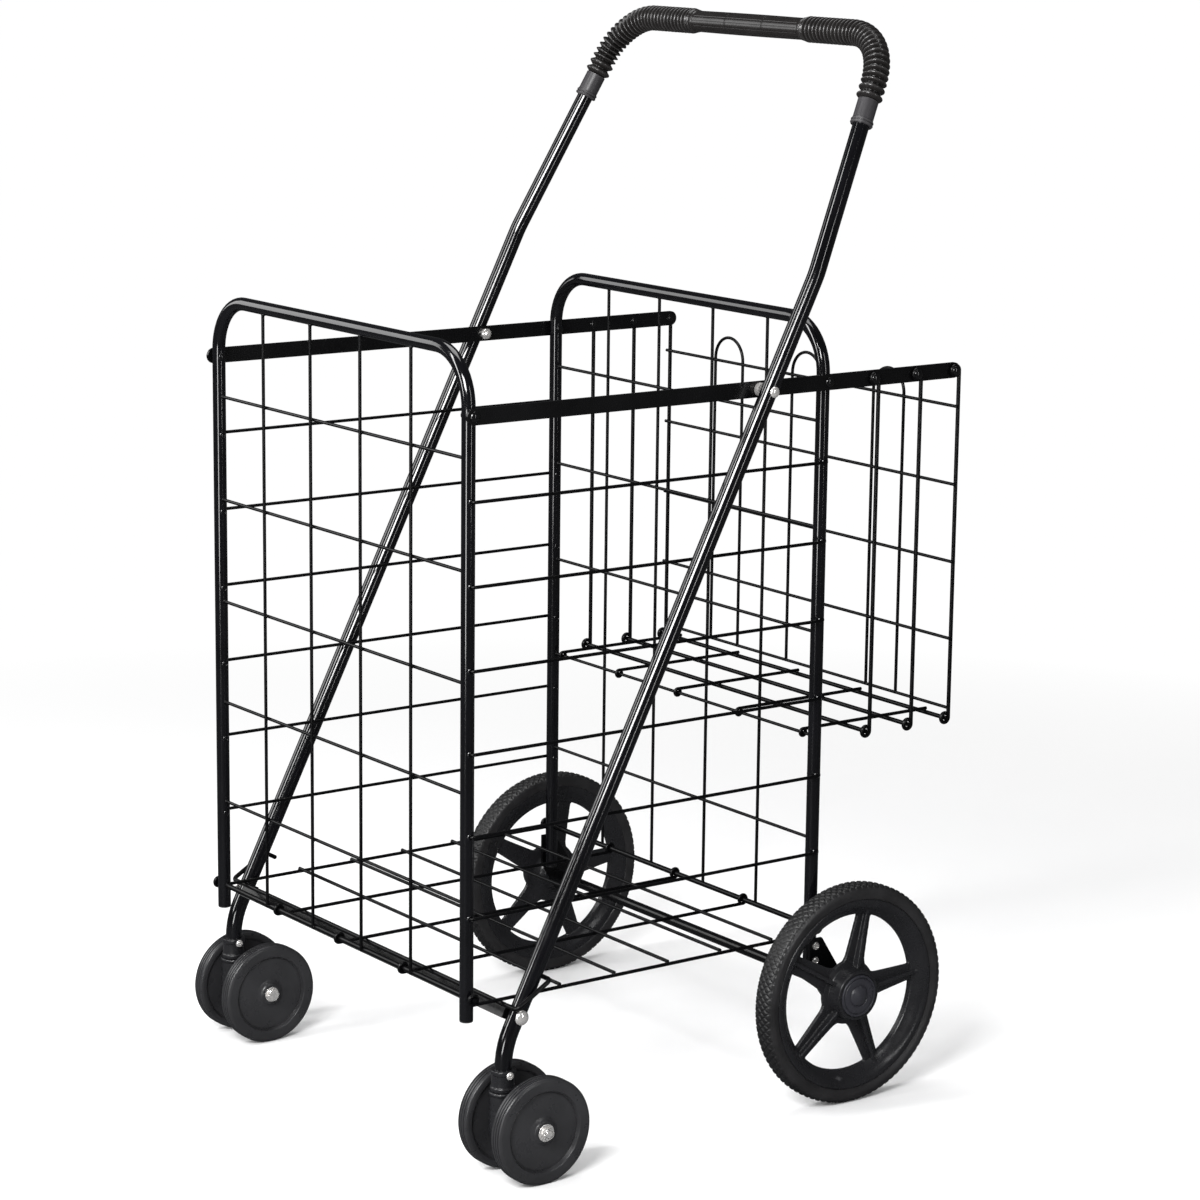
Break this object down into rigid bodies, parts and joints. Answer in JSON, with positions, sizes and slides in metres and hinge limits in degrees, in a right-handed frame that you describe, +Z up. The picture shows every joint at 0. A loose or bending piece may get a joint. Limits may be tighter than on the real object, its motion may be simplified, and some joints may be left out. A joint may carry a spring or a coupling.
{
  "type": "folding shopping trolley",
  "caption": "Folding wire shopping trolley with a tall main basket, a hanging rear basket, a bent-tube handle, twin-wheel swivel casters and large rear wheels.",
  "frame": {"origin": "on the ground, at the middle of the trolley's bounding box seen from above", "axes": "+Z up along the longest extent; +Y rearward, towards the person pushing; +X towards the trolley's left-hand side as it is pushed forward"},
  "size_m": [0.5664, 0.57, 1.0333],
  "materials": {
    "tube_black": "gloss",
    "wire_black": "gloss",
    "bar_black": "satin",
    "rivet_black": "satin",
    "zinc": "polished",
    "grip_black": "matte",
    "plastic_black": "satin",
    "tyre_black": "matte",
    "plug_black": "matte"
  },
  "bodies": {
    "rear_frame": {"rear_tube": "tube_black", "rear_panel_wires": "wire_black", "rear_hinge_rod": "wire_black", "rear_pivot_rivets": "rivet_black", "rear_tube_plugs": "plug_black", "axle_brackets": "bar_black", "bracket_rivets": "zinc", "rear_axle": "bar_black", "axle_spacers": "zinc", "axle_push_nuts": "zinc"},
    "side_bars": {"side_bar_left": "bar_black", "side_bar_right": "bar_black", "basket_rivets": "rivet_black"},
    "front_frame": {"front_tube": "tube_black", "front_panel_wires": "wire_black", "front_hinge_rod": "wire_black", "front_pivot_rivets": "rivet_black", "front_tube_plugs": "plug_black"},
    "side_wire_1": {"side_wire_1": "wire_black"},
    "side_wire_2": {"side_wire_2": "wire_black"},
    "side_wire_3": {"side_wire_3": "wire_black"},
    "side_wire_4": {"side_wire_4": "wire_black"},
    "side_wire_5": {"side_wire_5": "wire_black"},
    "side_wire_6": {"side_wire_6": "wire_black"},
    "main_floor": {"floor_grid": "wire_black"},
    "handle": {"handle_upper_tube": "tube_black", "handle_lower_tubes": "tube_black", "handle_brace": "bar_black", "brace_bolts": "zinc", "brace_nuts": "zinc", "pivot_bolts": "zinc", "pivot_nuts": "zinc", "pivot_spacers": "zinc", "grip_centre": "grip_black", "grip_bends": "grip_black", "caster_sockets": "plastic_black", "socket_screws": "zinc"},
    "guide": {"guide_rod": "wire_black"},
    "caster_left": {"caster_fork_left": "plastic_black", "caster_axle_left": "zinc", "caster_nut_left": "zinc"},
    "caster_wheel_left_inner": {"caster_wheel_left_inner": "plastic_black"},
    "caster_wheel_left_outer": {"caster_wheel_left_outer": "plastic_black"},
    "rear_wheel_left": {"rear_rim_left": "plastic_black", "rear_tyre_left": "tyre_black", "hub_cap_left": "plastic_black"},
    "caster_right": {"caster_fork_right": "plastic_black", "caster_axle_right": "zinc", "caster_nut_right": "zinc"},
    "caster_wheel_right_inner": {"caster_wheel_right_inner": "plastic_black"},
    "caster_wheel_right_outer": {"caster_wheel_right_outer": "plastic_black"},
    "rear_wheel_right": {"rear_rim_right": "plastic_black", "rear_tyre_right": "tyre_black", "hub_cap_right": "plastic_black"},
    "basket_back": {"basket_back_panel": "wire_black"},
    "basket_rods_front": {"basket_rods_1": "wire_black"},
    "basket_rods_middle": {"basket_rods_2": "wire_black"},
    "basket_floor": {"basket_floor": "wire_black"}
  },
  "joints": [
    {"name": "fold", "type": "hinge", "parent": "rear_frame", "child": "side_bars", "pos_m": [0, 0.1234, 0.7036], "axis": [-1, 0, 0], "range_deg": [0, 74]},
    {"name": "front_frame_hinge", "type": "hinge", "parent": "side_bars", "child": "front_frame", "pos_m": [0, -0.277, 0.7036], "axis": [1, 0, 0], "range_deg": [0, 74]},
    {"name": "side_wire_1_hinge", "type": "hinge", "parent": "rear_frame", "child": "side_wire_1", "pos_m": [0, 0.1234, 0.6274], "axis": [-1, 0, 0], "range_deg": [0, 74]},
    {"name": "side_wire_2_hinge", "type": "hinge", "parent": "rear_frame", "child": "side_wire_2", "pos_m": [0, 0.1234, 0.5512], "axis": [-1, 0, 0], "range_deg": [0, 74]},
    {"name": "side_wire_3_hinge", "type": "hinge", "parent": "rear_frame", "child": "side_wire_3", "pos_m": [0, 0.1234, 0.475], "axis": [-1, 0, 0], "range_deg": [0, 74]},
    {"name": "side_wire_4_hinge", "type": "hinge", "parent": "rear_frame", "child": "side_wire_4", "pos_m": [0, 0.1234, 0.3988], "axis": [-1, 0, 0], "range_deg": [0, 74]},
    {"name": "side_wire_5_hinge", "type": "hinge", "parent": "rear_frame", "child": "side_wire_5", "pos_m": [0, 0.1234, 0.3226], "axis": [-1, 0, 0], "range_deg": [0, 74]},
    {"name": "side_wire_6_hinge", "type": "hinge", "parent": "rear_frame", "child": "side_wire_6", "pos_m": [0, 0.1234, 0.2464], "axis": [-1, 0, 0], "range_deg": [0, 74]},
    {"name": "floor_hinge", "type": "hinge", "parent": "rear_frame", "child": "main_floor", "pos_m": [0, 0.1234, 0.1715], "axis": [-1, 0, 0], "range_deg": [0, 74]},
    {"name": "handle_pivot", "type": "hinge", "parent": "side_bars", "child": "handle", "pos_m": [0, 0.0394, 0.7036], "axis": [1, 0, 0], "range_deg": [0, 85.15]},
    {"name": "guide_slide", "type": "slide", "parent": "handle", "child": "guide", "axis": [0, 0.4509, 0.8926], "range_m": [0, 0.3036]},
    {"name": "basket_rods_front_hinge", "type": "hinge", "parent": "side_bars", "child": "basket_rods_front", "pos_m": [0, 0.1762, 0.7036], "axis": [1, 0, 0], "range_deg": [0, 74]},
    {"name": "basket_rods_middle_hinge", "type": "hinge", "parent": "side_bars", "child": "basket_rods_middle", "pos_m": [0, 0.2289, 0.7036], "axis": [1, 0, 0], "range_deg": [0, 74]},
    {"name": "basket_back_hinge", "type": "hinge", "parent": "side_bars", "child": "basket_back", "pos_m": [0, 0.277, 0.7036], "axis": [1, 0, 0], "range_deg": [0, 74]},
    {"name": "basket_floor_hinge", "type": "hinge", "parent": "rear_frame", "child": "basket_floor", "pos_m": [0, 0.1234, 0.3605], "axis": [-1, 0, 0], "range_deg": [0, 74]},
    {"name": "caster_swivel_left", "type": "hinge", "parent": "handle", "child": "caster_left", "pos_m": [0.242, -0.2529, 0.096], "axis": [0, 0, 1], "continuous": true},
    {"name": "caster_roll_left_inner", "type": "hinge", "parent": "caster_left", "child": "caster_wheel_left_inner", "pos_m": [0.242, -0.2295, 0.0505], "axis": [1, 0, 0], "continuous": true},
    {"name": "caster_roll_left_outer", "type": "hinge", "parent": "caster_left", "child": "caster_wheel_left_outer", "pos_m": [0.242, -0.2295, 0.0505], "axis": [1, 0, 0], "continuous": true},
    {"name": "rear_wheel_roll_left", "type": "hinge", "parent": "rear_frame", "child": "rear_wheel_left", "pos_m": [0.2526, 0.1453, 0.1092], "axis": [1, 0, 0], "continuous": true},
    {"name": "caster_swivel_right", "type": "hinge", "parent": "handle", "child": "caster_right", "pos_m": [-0.242, -0.2529, 0.096], "axis": [0, 0, 1], "continuous": true},
    {"name": "caster_roll_right_inner", "type": "hinge", "parent": "caster_right", "child": "caster_wheel_right_inner", "pos_m": [-0.242, -0.2295, 0.0505], "axis": [1, 0, 0], "continuous": true},
    {"name": "caster_roll_right_outer", "type": "hinge", "parent": "caster_right", "child": "caster_wheel_right_outer", "pos_m": [-0.242, -0.2295, 0.0505], "axis": [1, 0, 0], "continuous": true},
    {"name": "rear_wheel_roll_right", "type": "hinge", "parent": "rear_frame", "child": "rear_wheel_right", "pos_m": [-0.2526, 0.1453, 0.1092], "axis": [1, 0, 0], "continuous": true}
  ],
  "couplings": [
    {"joint": "front_frame_hinge", "follows": "fold", "ratio": 1},
    {"joint": "side_wire_1_hinge", "follows": "fold", "ratio": 1},
    {"joint": "side_wire_2_hinge", "follows": "fold", "ratio": 1},
    {"joint": "side_wire_3_hinge", "follows": "fold", "ratio": 1},
    {"joint": "side_wire_4_hinge", "follows": "fold", "ratio": 1},
    {"joint": "side_wire_5_hinge", "follows": "fold", "ratio": 1},
    {"joint": "side_wire_6_hinge", "follows": "fold", "ratio": 1},
    {"joint": "floor_hinge", "follows": "fold", "ratio": 1},
    {"joint": "handle_pivot", "follows": "fold", "ratio": 1.1507},
    {"joint": "guide_slide", "follows": "fold", "m_per_rad": 0.235},
    {"joint": "basket_rods_front_hinge", "follows": "fold", "ratio": 1},
    {"joint": "basket_rods_middle_hinge", "follows": "fold", "ratio": 1},
    {"joint": "basket_back_hinge", "follows": "fold", "ratio": 1},
    {"joint": "basket_floor_hinge", "follows": "fold", "ratio": 1}
  ]
}
